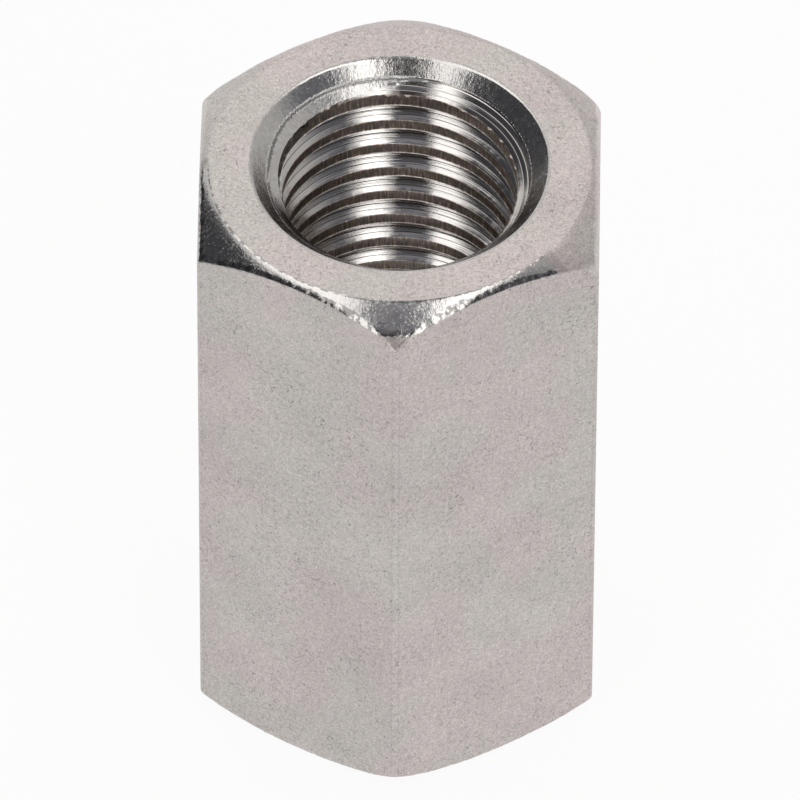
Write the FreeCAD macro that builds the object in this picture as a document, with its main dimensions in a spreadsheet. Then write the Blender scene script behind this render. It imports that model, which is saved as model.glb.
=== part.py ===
# Coupling nut: a length of hexagon bar, its corners turned away at both ends, bored
# right through for tapping and countersunk at both mouths. Two threaded rods are
# screwed in from the ends and meet inside it.
#
# The nut stands on its lower end face. The origin is the centre of that face, +Z
# runs up the bore, one corner of the hexagon points along -Y and two of the flats
# face +X and -X. Lengths are in millimetres and angles in degrees.

import FreeCAD
import Part
import Sketcher
import math
import os

# The driving dimensions. The bar is 24 mm hexagon at the small end of its tolerance,
# for a 16 mm thread of 2 mm pitch. Each end face is smaller across than the flats by
# its inset, and each countersink is wider than the thread by the countersink margin.
DIMENSIONS = {
    "across_flats": 23.7,
    "nut_length": 40.3,
    "corner_radius": 0.3,
    "top_face_inset": 1.04,
    "top_chamfer_angle": 33.0,
    "bottom_face_inset": 0.62,
    "bottom_chamfer_angle": 27.5,
    "thread_diameter": 16.0,
    "thread_pitch": 2.0,
    "top_countersink_margin": 1.68,
    "bottom_countersink_margin": 1.68,
    "countersink_angle": 90.0,
}

# Sizes that follow from the driving ones. A tapping bore is the thread's diameter
# less its pitch. The chamfer's cutter reaches well past the corners.
ACROSS_FLATS = "Sizes.across_flats"
CUTTER_REACH = "Sizes.across_flats"
BORE_RADIUS = "(Sizes.thread_diameter - Sizes.thread_pitch) / 2"

# Each end of the nut: the height of its face, and the way from the face into the
# metal, which is 1 for up and -1 for down.
ENDS = {
    "top": ("Sizes.nut_length", -1),
    "bottom": ("0 mm", 1),
}

HEXAGON_SIDES = 6

# How the sketcher counts things: the points of an edge from 1 up, and the axes of a
# sketch from -1 down. Its origin is the start of the horizontal axis.
START, END, CENTRE = range(1, 4)
HORIZONTAL_AXIS, VERTICAL_AXIS = range(-1, -3, -1)
ORIGIN = (HORIZONTAL_AXIS, START)


def make_sizes(document):
    """Put each driving dimension into a spreadsheet cell of its own name."""
    sheet = document.addObject("Spreadsheet::Sheet", "Sizes")
    for row, (name, number) in enumerate(DIMENSIONS.items(), start=1):
        sheet.set(f"A{row}", name)
        sheet.set(f"B{row}", str(number))
        sheet.setAlias(f"B{row}", name)
    document.recompute()
    return sheet


def origin_feature(body, role):
    """Find one of the body's own base planes or axes by its role."""
    return next(item for item in body.Origin.OriginFeatures if item.Role == role)


def new_sketch(body, name, role):
    """Start a sketch on one of the body's base planes."""
    sketch = body.newObject("Sketcher::SketchObject", name)
    sketch.AttachmentSupport = [(origin_feature(body, role), "")]
    sketch.MapMode = "FlatFace"
    return sketch


def value(sketch, expression):
    """Work an expression of the sizes out as a plain number."""
    return float(sketch.evalExpression(expression))


def constrain(sketch, kind, *places):
    """Add a constraint that has no size."""
    sketch.addConstraint(Sketcher.Constraint(kind, *places))


def dimension(sketch, name, expression, kind, *places):
    """Add a named dimension that follows an expression of the sizes."""
    number = value(sketch, expression)
    index = sketch.addConstraint(Sketcher.Constraint(kind, *places, number))
    sketch.renameConstraint(index, name)
    sketch.setExpression(f"Constraints.{name}", expression)


def polygon(sketch, corners):
    """Draw straight sides from corner to corner and join their ends."""
    points = [FreeCAD.Vector(x, y, 0) for x, y in corners]
    following = points[1:] + points[:1]
    for start, end in zip(points, following):
        sketch.addGeometry(Part.LineSegment(start, end))
    for side in range(len(points)):
        constrain(sketch, "Coincident", side, END, (side + 1) % len(points), START)


def hexagon_bar(body):
    """Draw the hexagon, with a corner on the Y axis, and pad it to the nut's length."""
    sketch = new_sketch(body, "HexagonSection", "XY_Plane")
    corner_distance = value(sketch, ACROSS_FLATS) / math.sqrt(3)
    turns = [math.radians(30 + 60 * side) for side in range(HEXAGON_SIDES)]
    polygon(sketch, [(corner_distance * math.cos(turn), corner_distance * math.sin(turn)) for turn in turns])

    through_corners = Part.Circle(FreeCAD.Vector(0, 0, 0), FreeCAD.Vector(0, 0, 1), corner_distance)
    circle = sketch.addGeometry(through_corners, True)
    constrain(sketch, "Coincident", circle, CENTRE, *ORIGIN)
    for side in range(HEXAGON_SIDES):
        constrain(sketch, "PointOnObject", side, START, circle)
    for side in range(1, HEXAGON_SIDES):
        constrain(sketch, "Equal", 0, side)
    constrain(sketch, "PointOnObject", 1, START, VERTICAL_AXIS)
    dimension(sketch, "across_flats", ACROSS_FLATS, "DistanceX", 3, START, 0, START)

    bar = body.newObject("PartDesign::Pad", "HexagonBar")
    bar.Profile = sketch
    bar.setExpression("Length", "Sizes.nut_length")
    body.Document.recompute()
    return bar


def round_long_edges(body, bar):
    """Round the six edges that run the length of the bar, as drawn bar has them."""
    upright = [
        f"Edge{number}"
        for number, edge in enumerate(bar.Shape.Edges, start=1)
        if edge.Vertexes[0].Point.z != edge.Vertexes[-1].Point.z
    ]
    rounding = body.newObject("PartDesign::Fillet", "RoundedLongEdges")
    rounding.Base = (bar, upright)
    rounding.setExpression("Radius", "Sizes.corner_radius")


def cut_full_turn(body, name, sketch):
    """Turn a profile right round the bore's axis and cut it away."""
    groove = body.newObject("PartDesign::Groove", name)
    groove.Profile = sketch
    groove.ReferenceAxis = (origin_feature(body, "Z_Axis"), [""])
    groove.Angle = 360


def turn_away_corners(body, end):
    """Cut the hexagon's corners at one end back to a cone round a circular face.

    The cutter is a right triangle. Its tip is on the rim of the face, its top lies
    in the face's plane and its far side stands outside the corners.
    """
    face_height, into_nut = ENDS[end]
    face_radius = f"(Sizes.across_flats - Sizes.{end}_face_inset) / 2"
    fall = f"({CUTTER_REACH} - {face_radius}) * tan(Sizes.{end}_chamfer_angle * 1 deg)"
    sketch = new_sketch(body, f"{end.title()}ChamferProfile", "XZ_Plane")
    sketch.setExpression("AttachmentOffset.Base.y", face_height)
    tip = value(sketch, face_radius)
    reach = value(sketch, CUTTER_REACH)
    polygon(sketch, [(tip, 0), (reach, 0), (reach, into_nut * value(sketch, fall))])
    constrain(sketch, "PointOnObject", 0, START, HORIZONTAL_AXIS)
    constrain(sketch, "Horizontal", 0)
    constrain(sketch, "Vertical", 1)
    dimension(sketch, "face_radius", face_radius, "DistanceX", *ORIGIN, 0, START)
    dimension(sketch, "reach", CUTTER_REACH, "DistanceX", *ORIGIN, 0, END)
    dimension(sketch, "fall", fall, "Distance", 1, START, 1, END)
    cut_full_turn(body, f"{end.title()}Chamfer", sketch)


def bore_for_tapping(body):
    """Bore right through at the tapping size, which is where the thread's crests lie."""
    sketch = new_sketch(body, "BoreCircle", "XY_Plane")
    radius = value(sketch, BORE_RADIUS)
    circle = sketch.addGeometry(Part.Circle(FreeCAD.Vector(0, 0, 0), FreeCAD.Vector(0, 0, 1), radius))
    constrain(sketch, "Coincident", circle, CENTRE, *ORIGIN)
    dimension(sketch, "bore_radius", BORE_RADIUS, "Radius", circle)

    bore = body.newObject("PartDesign::Pocket", "TappingBore")
    bore.Profile = sketch
    bore.Type = "ThroughAll"
    bore.Reversed = True


def countersink(body, end):
    """Open one mouth of the bore with a cone that is wider than the thread.

    The cutter is a right triangle with its square corner where the bore's axis
    meets the end face, and its point on the axis inside the nut.
    """
    face_height, into_nut = ENDS[end]
    mouth_radius = f"(Sizes.thread_diameter + Sizes.{end}_countersink_margin) / 2"
    depth = f"{mouth_radius} / tan(Sizes.countersink_angle / 2 * 1 deg)"
    sketch = new_sketch(body, f"{end.title()}CountersinkProfile", "XZ_Plane")
    sketch.setExpression("AttachmentOffset.Base.y", face_height)
    polygon(sketch, [(0, 0), (value(sketch, mouth_radius), 0), (0, into_nut * value(sketch, depth))])
    constrain(sketch, "Coincident", 0, START, *ORIGIN)
    constrain(sketch, "Horizontal", 0)
    constrain(sketch, "Vertical", 2)
    dimension(sketch, "mouth_radius", mouth_radius, "Distance", 0, START, 0, END)
    dimension(sketch, "depth", depth, "Distance", 2, START, 2, END)
    cut_full_turn(body, f"{end.title()}Countersink", sketch)


def build_nut(document):
    """Make the nut's features in the order in which the real one is machined."""
    body = document.addObject("PartDesign::Body", "CouplingNut")
    body.Label = "coupling_nut"
    bar = hexagon_bar(body)
    round_long_edges(body, bar)
    for end in ENDS:
        turn_away_corners(body, end)
    bore_for_tapping(body)
    for end in ENDS:
        countersink(body, end)
    document.recompute()
    return body


def check(document, bodies):
    """Stop if anything failed to build, or if a body isn't one sound solid."""
    for item in document.Objects:
        if "Invalid" in item.State or "Error" in item.State:
            raise RuntimeError(f"{item.Label} failed to build: {item.State}")
    for body in bodies:
        if body.Shape.isNull() or not body.Shape.isValid() or len(body.Shape.Solids) != 1:
            raise RuntimeError(f"{body.Label} is not one valid solid")


document = FreeCAD.newDocument("CouplingNut")
make_sizes(document)
nut = build_nut(document)
check(document, [nut])

os.makedirs("parts", exist_ok=True)
nut.Shape.exportStep(f"parts/{nut.Label}.step")
print(nut.Label, "volume in cubic millimetres", round(nut.Shape.Volume, 1))
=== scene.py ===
"""Looks of the coupling nut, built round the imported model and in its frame.

The nut's skin is one closed mesh. Its outside is a grid of profile rows by columns
round the nut, and its bore is one strip that follows the thread from end to end.
"""

import logging
import math
from collections.abc import Mapping, Sequence
from dataclasses import dataclass
from enum import Enum

import bpy
import numpy as np
from mathutils import Matrix


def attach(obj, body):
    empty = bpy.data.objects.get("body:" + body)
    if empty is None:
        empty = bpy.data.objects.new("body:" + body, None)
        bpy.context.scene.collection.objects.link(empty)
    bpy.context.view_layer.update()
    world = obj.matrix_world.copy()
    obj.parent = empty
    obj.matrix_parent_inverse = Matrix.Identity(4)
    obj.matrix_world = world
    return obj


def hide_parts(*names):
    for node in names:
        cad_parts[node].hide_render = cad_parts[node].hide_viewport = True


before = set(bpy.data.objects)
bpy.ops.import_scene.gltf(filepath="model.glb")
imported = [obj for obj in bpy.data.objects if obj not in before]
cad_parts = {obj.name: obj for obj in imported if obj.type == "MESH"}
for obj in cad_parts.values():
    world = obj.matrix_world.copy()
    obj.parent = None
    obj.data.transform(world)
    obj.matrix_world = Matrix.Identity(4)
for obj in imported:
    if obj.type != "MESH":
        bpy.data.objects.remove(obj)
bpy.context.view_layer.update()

LOG = logging.getLogger("coupling_nut")
MILLIMETRE = 0.001
FULL_TURN = 2.0 * math.pi
Colour = tuple[float, float, float]
Settings = Mapping[str, object]


class Finish(Enum):
    """Finishes of the nut's skin. Each value is the place of its material on the mesh."""

    TUMBLED = 0
    TURNED = 1
    COUNTERSINK = 2
    THREAD = 3
    CREST = 4


# Sizes in millimetres, and directions in degrees counter-clockwise from +X


def ramp(values: np.ndarray, start: float, end: float) -> np.ndarray:
    """Go in a straight line from 0 at start to 1 at end, and stay level past both."""
    return np.clip((values - start) / (end - start), 0.0, 1.0)


def plateau(values: np.ndarray, corners: tuple[float, float, float, float]) -> np.ndarray:
    """Rise from 0 to 1 between the first two corners and fall between the last two."""
    return ramp(values, corners[0], corners[1]) * ramp(values, corners[3], corners[2])


def bell(values: np.ndarray, middle: float, spread: float) -> np.ndarray:
    """Give a bell curve: e to minus the square of the distance from the middle in spreads."""
    return np.exp(-((values - middle) / spread) ** 2)


def degrees_from(angle: np.ndarray, direction: float) -> np.ndarray:
    """Turn angles in radians into degrees from a direction, between -180 and 180."""
    return (np.degrees(angle) - direction + 180.0) % 360.0 - 180.0


def pair(radius: np.ndarray | float, height: np.ndarray | float, columns: np.ndarray) -> np.ndarray:
    """Pair radii with heights, one pair for each of the columns."""
    return np.stack(np.broadcast_arrays(radius, height, columns)[:2], axis=-1)


@dataclass(frozen=True)
class BevelSizes:
    """The narrow bevel on the edge beside an end's tip. Its arc is in degrees from the tip.

    The turned surface drops towards the bevel. The bevel's reach grows with the distance
    from the tip, its slope lessens, and its foot bends into the side.
    """

    arc: tuple[float, float] = (0.0, 0.0)
    arc_ramp: float = 1.5
    drop: float = 0.45
    reach_at_tip: float = 0.07
    more_reach: float = 0.27
    reach_ramp: tuple[float, float] = (2.5, 10.5)
    reach_on_right: float = 1.2
    slope_at_tip: float = 1.15
    slope_loss: float = 0.016
    slope_until: float = 25.0
    foot: float = 0.03
    foot_fall: float = 0.04
    bright_from: float = 5.5

    def present(self, off_tip: np.ndarray) -> np.ndarray:
        """Give 1 within the bevel's arc and 0 outside it, with a ramp at each end."""
        first, last = self.arc
        return ramp(off_tip, first, first + self.arc_ramp) * ramp(off_tip, last, last - self.arc_ramp)


@dataclass(frozen=True)
class EndSizes:
    """One end of the nut: its face, its turned corners and the mouth of its bore."""

    face_radius: float
    rim_slope: float
    corner_slope: float
    slope_run: float = 0.35
    rim_round: float = 0.07
    edge_round: float = 0.36
    mouth_radius: float = 8.84
    mouth_round: float = 0.13
    mouth_beads: tuple[tuple[float, float], ...] = ((120.0, 22.0), (55.0, 20.0))
    step_slope: float = 0.74
    worn_from: float = 12.75
    worn_to: float = 13.64
    corner_wear: tuple[float, ...] = (0.0, 0.0, 0.0, 0.0, 0.0, 0.0)
    bright_arc: tuple[float, float] = (182.0, 319.0)
    arc_border: float = 8.0
    bright_reach: float = 13.1
    reach_border: float = 0.3
    tip_direction: float = 270.0
    tip_half_arc: float = 30.0
    # The tip's dullness, being short of full, also gets the turned finish painted darker there, as painted
    # shade.
    tip_dullness_and_shade: float = 0.75
    bevel: BevelSizes = BevelSizes()

    def fall(self, radius: np.ndarray) -> np.ndarray:
        """Work out how far the turned surface lies below the face at each radius.

        The slope starts at rim_slope and nears corner_slope, and the difference dies
        away as an exponential of the distance from the rim over slope_run.

        Args:
            radius: Distances from the bore's axis.

        Returns:
            The fall at each radius, 0 on the rim.
        """
        run = np.maximum(radius - self.face_radius, 0.0)
        eased = 1.0 - np.exp(-run / self.slope_run)
        return self.corner_slope * run - (self.corner_slope - self.rim_slope) * self.slope_run * eased

    def dullness(self, radius: np.ndarray, angle: np.ndarray) -> np.ndarray:
        """Work out where tumbling has dulled the turned surface.

        It is left bright over bright_arc, and near the tip only out to bright_reach. Past
        that reach it is dulled by tip_dullness_and_shade at most. Each border is a straight ramp.

        Args:
            radius: Distances from the bore's axis.
            angle: Angles round it.

        Returns:
            1 where the surface is dull and 0 where it is bright.
        """
        first, last = self.bright_arc
        half_arc, half_border = (last - first) / 2.0, self.arc_border / 2.0
        off_middle = np.abs(degrees_from(angle, (first + last) / 2.0))
        past_arc = ramp(off_middle, half_arc - half_border, half_arc + half_border)
        half_border = self.reach_border / 2.0
        past_reach = ramp(radius, self.bright_reach - half_border, self.bright_reach + half_border)
        near_tip = np.abs(degrees_from(angle, self.tip_direction)) < self.tip_half_arc
        return np.maximum(past_arc, near_tip * np.minimum(past_reach, self.tip_dullness_and_shade))


@dataclass(frozen=True)
class NutSizes:
    """The hexagon bar and its two ends. Corner wear starts with the corner at 30 degrees."""

    across_flats: float = 23.7
    length: float = 40.3
    corner_round: float = 0.3
    corner_reach: float = 13.6366
    top: EndSizes = EndSizes(
        face_radius=11.33, rim_slope=0.4, corner_slope=0.7,
        corner_wear=(0.55, 0.25, 0.25, 0.0, 0.12, 0.55), bevel=BevelSizes(arc=(-15.0, 21.0)))
    bottom: EndSizes = EndSizes(
        face_radius=11.54, rim_slope=0.4, corner_slope=0.55, edge_round=0.3, worn_from=12.6,
        corner_wear=(0.1, 0.2, 0.1, 0.15, 0.28, 0.1))


@dataclass(frozen=True)
class ThreadSizes:
    """The right-hand thread. A row is a height within one pitch and its radius.

    The lips, the crest and the cut lines are the places of their rows. The last five
    sizes are how far the crests are cut back at the mouths, and how far the lips' beads,
    tears and burrs and the crests' wavering stand out.
    """

    pitch: float = 2.0
    first_root: float = -3.04
    turns: int = 22
    columns: int = 190
    rows: tuple[tuple[float, float], ...] = (
        (0.000, 8.000), (0.110, 8.000), (0.605, 7.021), (0.637, 6.966), (0.671, 7.006),
        (0.980, 7.008), (1.270, 6.998), (1.340, 6.984), (1.370, 7.018), (1.546, 7.300),
        (1.548, 7.340), (1.724, 7.560), (1.727, 7.620), (1.957, 7.840), (1.985, 7.990))
    lower_lip: int = 3
    upper_lip: int = 7
    crest: tuple[int, ...] = (3, 4, 5, 6, 7)
    cut_lines: tuple[int, ...] = (4, 6)
    cut_back: float = 0.18
    beads: float = 0.018
    tears: float = 0.02
    burrs: float = 0.06
    wavering: float = 0.006


def ripple(turns: np.ndarray, lowest: float, highest: float, waves: int, seed: int,
           closed: bool = False) -> np.ndarray:
    """Make an uneven line round the axis as a sum of cosines.

    Each cosine has a random count of waves a turn, spread evenly in its logarithm, and
    a random phase. The sum is divided so that its standard deviation is 1.

    Args:
        turns: Positions, in turns round the axis.
        lowest: Fewest waves a turn.
        highest: Most waves a turn.
        waves: How many cosines are summed.
        seed: Seed of the random numbers.
        closed: Whether the counts are whole, so that the line meets itself.

    Returns:
        The line's height at each position.
    """
    random = np.random.default_rng(seed)
    counts = np.exp(random.uniform(math.log(lowest), math.log(highest), waves))
    counts = np.round(counts) if closed else counts
    phases = random.uniform(0.0, FULL_TURN, waves)
    total = np.zeros_like(turns)
    for count, phase in zip(counts, phases):
        total += np.cos(FULL_TURN * count * turns + phase)
    return total * math.sqrt(2.0 / waves)


def bend(start: np.ndarray, corner: np.ndarray, end: np.ndarray, steps: int) -> np.ndarray:
    """Round a corner with a quadratic curve from start to end, pulled to the corner.

    A point is (1-s)^2 of start, 2s(1-s) of corner and s^2 of end.

    Args:
        start: Radius and height where the curve begins, for every column.
        corner: Radius and height of the sharp corner.
        end: Radius and height where the curve ends.
        steps: Number of steps along the curve.

    Returns:
        The curve's rows, steps + 1 of them.
    """
    s = np.linspace(0.0, 1.0, steps + 1)[:, None, None]
    return (1.0 - s) ** 2 * start + 2.0 * s * (1.0 - s) * corner + s ** 2 * end


class Skin:
    """Collects the points and triangles of one closed surface and makes its mesh."""

    def __init__(self) -> None:
        """Start with no points."""
        self.points: list[np.ndarray] = []
        self.wear: list[np.ndarray] = []
        self.matte: list[np.ndarray] = []
        self.corners: list[np.ndarray] = []
        self.grain: list[np.ndarray] = []
        self.finish: list[np.ndarray] = []
        self.count = 0

    def add_points(self, radius: np.ndarray, angle: np.ndarray, height: np.ndarray,
                   wear: np.ndarray | float = 0.0, matte: np.ndarray | float = 0.0) -> np.ndarray:
        """Add points given round the axis: x and y are the radius times cosine and sine.

        Args:
            radius: Distance of each point from the axis.
            angle: Angle of each point, counter-clockwise from +X.
            height: Height of each point.
            wear: How far each point's edge is worn, from 0 to 1. Finishes also paint shade and highlights by
                it.
            matte: How far tumbling has dulled each point, from 0 to 1.

        Returns:
            The points' numbers, in an array of the same shape.
        """
        radius, angle, height, wear, matte = np.broadcast_arrays(radius, angle, height, wear, matte)
        places = np.stack([radius * np.cos(angle), radius * np.sin(angle), height], axis=-1)
        self.points.append(places.reshape(-1, 3))
        self.wear.append(wear.reshape(-1))
        self.matte.append(matte.reshape(-1))
        numbers = self.count + np.arange(radius.size).reshape(radius.shape)
        self.count += radius.size
        return numbers

    def add_triangles(self, corners: np.ndarray, grain: np.ndarray, finish: np.ndarray) -> None:
        """Add triangles.

        Args:
            corners: Three point numbers for each triangle.
            grain: The surface coordinates of each corner, in millimetres.
            finish: The finish of each triangle.
        """
        self.corners.append(corners.reshape(-1, 3))
        self.grain.append(grain.reshape(-1, 3, 2))
        self.finish.append(np.broadcast_to(finish, corners.shape[:-1]).reshape(-1))

    def add_cells(self, numbers: Sequence[np.ndarray], grain: Sequence[np.ndarray],
                  finish: np.ndarray) -> None:
        """Split four-cornered cells in two, from the second corner to the fourth.

        Args:
            numbers: The cells' first, second, third and fourth points, as four arrays.
            grain: The surface coordinates of the same four corners.
            finish: The finish of each cell.
        """
        for way in ((0, 1, 3), (1, 2, 3)):
            corners = np.stack([numbers[corner] for corner in way], axis=-1)
            self.add_triangles(corners, np.stack([grain[corner] for corner in way], axis=-2), finish)

    def add_zip(self, inner: np.ndarray, inner_angle: np.ndarray, outer: np.ndarray,
                outer_angle: np.ndarray, radii: tuple[float, float], upwards: bool, finish: Finish) -> None:
        """Join two rings of one flat face that have different numbers of points.

        Both rings are walked together in order of angle. Each step on either ring adds
        the triangle between that step and the point last reached on the other ring.

        Args:
            inner: Point numbers of the inner ring.
            inner_angle: Their angles, from 0 up to a full turn.
            outer: Point numbers of the outer ring.
            outer_angle: Their angles, from 0 up to a full turn.
            radii: Radius of the inner and of the outer ring.
            upwards: Whether the face looks up.
            finish: The face's finish.
        """
        inner_order = np.argsort(inner_angle)
        outer_order = np.argsort(outer_angle)
        steps = np.concatenate([inner_angle[inner_order], outer_angle[outer_order]])
        on_inner = np.concatenate([np.ones(inner.size, bool), np.zeros(outer.size, bool)])
        on_inner = on_inner[np.argsort(steps, kind="stable")]
        inner_at = np.cumsum(on_inner) - 1
        outer_at = np.cumsum(~on_inner) - 1
        before = np.roll(np.arange(on_inner.size), 1)
        i = inner_order[inner_at[before] % inner.size]
        o = outer_order[outer_at[before] % outer.size]
        next_i = inner_order[inner_at % inner.size]
        next_o = outer_order[outer_at % outer.size]
        third = np.where(on_inner, inner[next_i], outer[next_o])
        corners = np.stack([inner[i], outer[o], third], axis=-1)
        places = np.stack([
            self._flat(radii[0], inner_angle[i]),
            self._flat(radii[1], outer_angle[o]),
            np.where(on_inner[:, None], self._flat(radii[0], inner_angle[next_i]),
                     self._flat(radii[1], outer_angle[next_o]))], axis=-2)
        way = [0, 1, 2] if upwards else [0, 2, 1]
        self.add_triangles(corners[:, way], places[:, way], np.full(len(corners), finish.value))

    @staticmethod
    def _flat(radius: float, angle: np.ndarray) -> np.ndarray:
        """Give x and y of points at one radius."""
        return np.stack([radius * np.cos(angle), radius * np.sin(angle)], axis=-1)

    def make_mesh(self, name: str, sharp_degrees: float) -> bpy.types.Mesh:
        """Weld everything into one mesh in metres, with its attributes.

        Args:
            name: The mesh's name.
            sharp_degrees: Edges bent by more than this are shaded sharp.

        Returns:
            The mesh, with the surface coordinates as its UV map "grain" and the wear and
            the dullness as the attributes "wear" and "matte".
        """
        corners = np.concatenate(self.corners)
        a, b, c = corners.T
        whole = (a != b) & (b != c) & (c != a)
        used, corners = np.unique(corners[whole], return_inverse=True)
        points = np.concatenate(self.points)[used] * MILLIMETRE
        corners = corners.reshape(-1).astype(np.int32)
        mesh = bpy.data.meshes.new(name)
        mesh.vertices.add(len(points))
        mesh.vertices.foreach_set("co", points.astype(np.float32).reshape(-1))
        mesh.loops.add(len(corners))
        mesh.loops.foreach_set("vertex_index", corners)
        mesh.polygons.add(len(corners) // 3)
        mesh.polygons.foreach_set("loop_start", np.arange(0, len(corners), 3, dtype=np.int32))
        mesh.update(calc_edges=True)
        mesh.polygons.foreach_set("material_index", np.concatenate(self.finish)[whole].astype(np.int32))
        mesh.polygons.foreach_set("use_smooth", np.ones(len(corners) // 3, bool))
        layer = mesh.uv_layers.new(name="grain")
        layer.uv.foreach_set("vector", np.concatenate(self.grain)[whole].astype(np.float32).reshape(-1))
        for label, values in (("wear", self.wear), ("matte", self.matte)):
            attribute = mesh.attributes.new(label, "FLOAT", "POINT")
            attribute.data.foreach_set("value", np.concatenate(values)[used].astype(np.float32))
        mesh.set_sharp_from_angle(angle=math.radians(sharp_degrees))
        mesh.update()
        return mesh


class HexagonOutside:
    """The nut's outside: both faces, the turned corners and the six flats.

    An end's rows lie on its face, round its rim, down its slope and over the edge to the
    side. One row inside the rim and one past the edge, both by GUARD_GAP, keep the shading
    of the face and of the side flat. Between the two ends' rows, further rows stand at
    SIDE_PARTS of the way down. Waves are the fewest and the most a turn, and how many
    there are.
    """

    SIDES = 6
    HALF_SIDE = math.radians(30.0)
    CORNER_SPREAD = 0.2
    FACE_RADII = (9.25, 10.2, 10.9)
    RIM_STEPS = 3
    SLOPE_ROWS = 9
    EDGE_STEPS = 7
    BEVEL_STEPS = 3
    FIRST_RIM = len(FACE_RADII) + 1
    FIRST_EDGE = FIRST_RIM + RIM_STEPS + 1 + SLOPE_ROWS
    TURNED_EDGE = 4
    SIDE_PARTS = (0.02, 0.1, 0.35, 0.65, 0.9, 0.98)
    GUARD_GAP = 0.06
    RIM_WEAR = 0.6
    RIM_WAVER = 0.008
    EDGE_WAVER, EDGE_BROAD_WAVER, EDGE_WEAR = 0.09, 0.12, 0.1
    EDGE_LIMITS = (0.35, 3.0)
    EDGE_INSET = 0.8
    BEVEL_WAVER = 0.07
    FINE_WAVES = (20, 260, 40)
    BROAD_WAVES = (3, 14, 8)
    TOP_SEED, BOTTOM_SEED = 11, 23
    GRAIN_LEAN = 0.3

    def __init__(self, sizes: NutSizes) -> None:
        """Lay out the columns.

        Args:
            sizes: The nut's sizes.
        """
        self.sizes = sizes
        self.angle, self.side_radius, self.round_part, self.along = self._columns()
        self.nearest_corner = np.round((self.angle / FULL_TURN * 360.0 - 30.0) / 60.0).astype(int) % 6

    def _columns(self, arc_steps: int = 8, flat_steps: int = 98) -> tuple[np.ndarray, ...]:
        """Work out the columns round the nut, from the corner at 90 degrees.

        On a flat the radius is the half width over the cosine of the angle from the
        flat's middle. On a rounded corner it is the far side of a small circle, whose
        points are spaced evenly in the direction that they face.

        Args:
            arc_steps: Steps round one rounded corner.
            flat_steps: Steps along one flat.

        Returns:
            Each column's angle, side radius, roundness and distance along the side.
        """
        half, corner = self.sizes.across_flats / 2.0, self.sizes.corner_round
        centre = (half - corner) / math.cos(self.HALF_SIDE)
        facing = np.radians(np.linspace(-30.0, 30.0, arc_steps + 1))
        x = centre + corner * np.cos(facing)
        y = corner * np.sin(facing)
        arc = np.arctan2(y, x)
        flat = np.linspace(arc[-1], 2.0 * self.HALF_SIDE - arc[-1], flat_steps + 1)[1:-1]
        one_angle = np.concatenate([arc, flat])
        rounded = np.minimum(np.hypot(x, y), self.sizes.corner_reach)
        one_radius = np.concatenate([rounded, half / np.cos(self.HALF_SIDE - flat)])
        reach = half * math.tan(self.HALF_SIDE)
        one_along = np.concatenate([y, reach - half * np.tan(self.HALF_SIDE - flat)])
        from_corner = np.minimum(np.abs(one_along), 2.0 * reach - np.abs(one_along))
        edge = bell(from_corner, 0.0, self.CORNER_SPREAD)
        side = np.arange(self.SIDES)[:, None]
        angle = (math.radians(90.0) + 2.0 * self.HALF_SIDE * side + one_angle).reshape(-1) % FULL_TURN
        along = (2.0 * reach * side + one_along).reshape(-1)
        return angle, np.tile(one_radius, self.SIDES), np.tile(edge, self.SIDES), along

    def _turned(self, end: EndSizes, radius: np.ndarray) -> np.ndarray:
        """Give points of the turned surface.

        It is worn lower towards some corners, by the square of the way from worn_from to
        worn_to, and in the bevel's arc by a further drop past bright_reach.

        Args:
            end: The end's sizes.
            radius: Each column's radius.

        Returns:
            Each column's radius and fall below the face.
        """
        wear = np.array(end.corner_wear)[self.nearest_corner] * ramp(radius, end.worn_from, end.worn_to) ** 2
        bevelled = end.bevel.present(degrees_from(self.angle, end.tip_direction))
        drop = end.bevel.drop * bevelled * ramp(radius, end.bright_reach, end.worn_to) ** 1.5
        return pair(radius, end.fall(radius) + wear + drop, radius)

    def _edge(self, end: EndSizes, uneven: np.ndarray, broad: np.ndarray) -> np.ndarray:
        """Work out the edge between the turned surface and the side.

        It is a quadratic curve whose size is uneven and grows with wear. In the bevel's arc
        it gives way to the bevel, which is straight down to its foot.

        Args:
            end: The end's sizes.
            uneven: Fine unevenness of each column.
            broad: Broad unevenness of each column.

        Returns:
            The edge's rows, with each column's radius and fall below the face.
        """
        side = self.side_radius
        worn = ramp(side, end.worn_from, end.worn_to)
        growth = self.EDGE_WAVER * uneven + self.EDGE_BROAD_WAVER * broad + self.EDGE_WEAR * worn
        size = end.edge_round * np.clip(1.0 + growth, *self.EDGE_LIMITS)
        corner = self._turned(end, side)
        down = pair(side, corner[:, 1] + size, side)
        edge = bend(self._turned(end, side - size * self.EDGE_INSET), corner, down, self.EDGE_STEPS)

        bevel = end.bevel
        off_tip = degrees_from(self.angle, end.tip_direction)
        off = np.abs(off_tip)
        more = bevel.more_reach * ramp(off, *bevel.reach_ramp) * (1.0 + self.BEVEL_WAVER * uneven)
        reach = (bevel.reach_at_tip + more) * np.where(off_tip > 0.0, bevel.reach_on_right, 1.0)
        slope = bevel.slope_at_tip - bevel.slope_loss * np.minimum(off, bevel.slope_until)
        start = self._turned(end, side - reach)
        foot = pair(side - bevel.foot, start[:, 1] + slope * (reach - bevel.foot), side)
        sharp = pair(side, foot[:, 1] + slope * bevel.foot, side)
        straight = start + (foot - start) * np.linspace(0.0, 1.0, self.BEVEL_STEPS + 1)[:, None, None]
        foot_steps = self.EDGE_STEPS - self.BEVEL_STEPS
        into_side = bend(foot, sharp, sharp + [0.0, bevel.foot_fall], foot_steps)[1:]
        rows = np.concatenate([straight, into_side])
        return edge + (rows - edge) * bevel.present(off_tip)[:, None]

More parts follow.
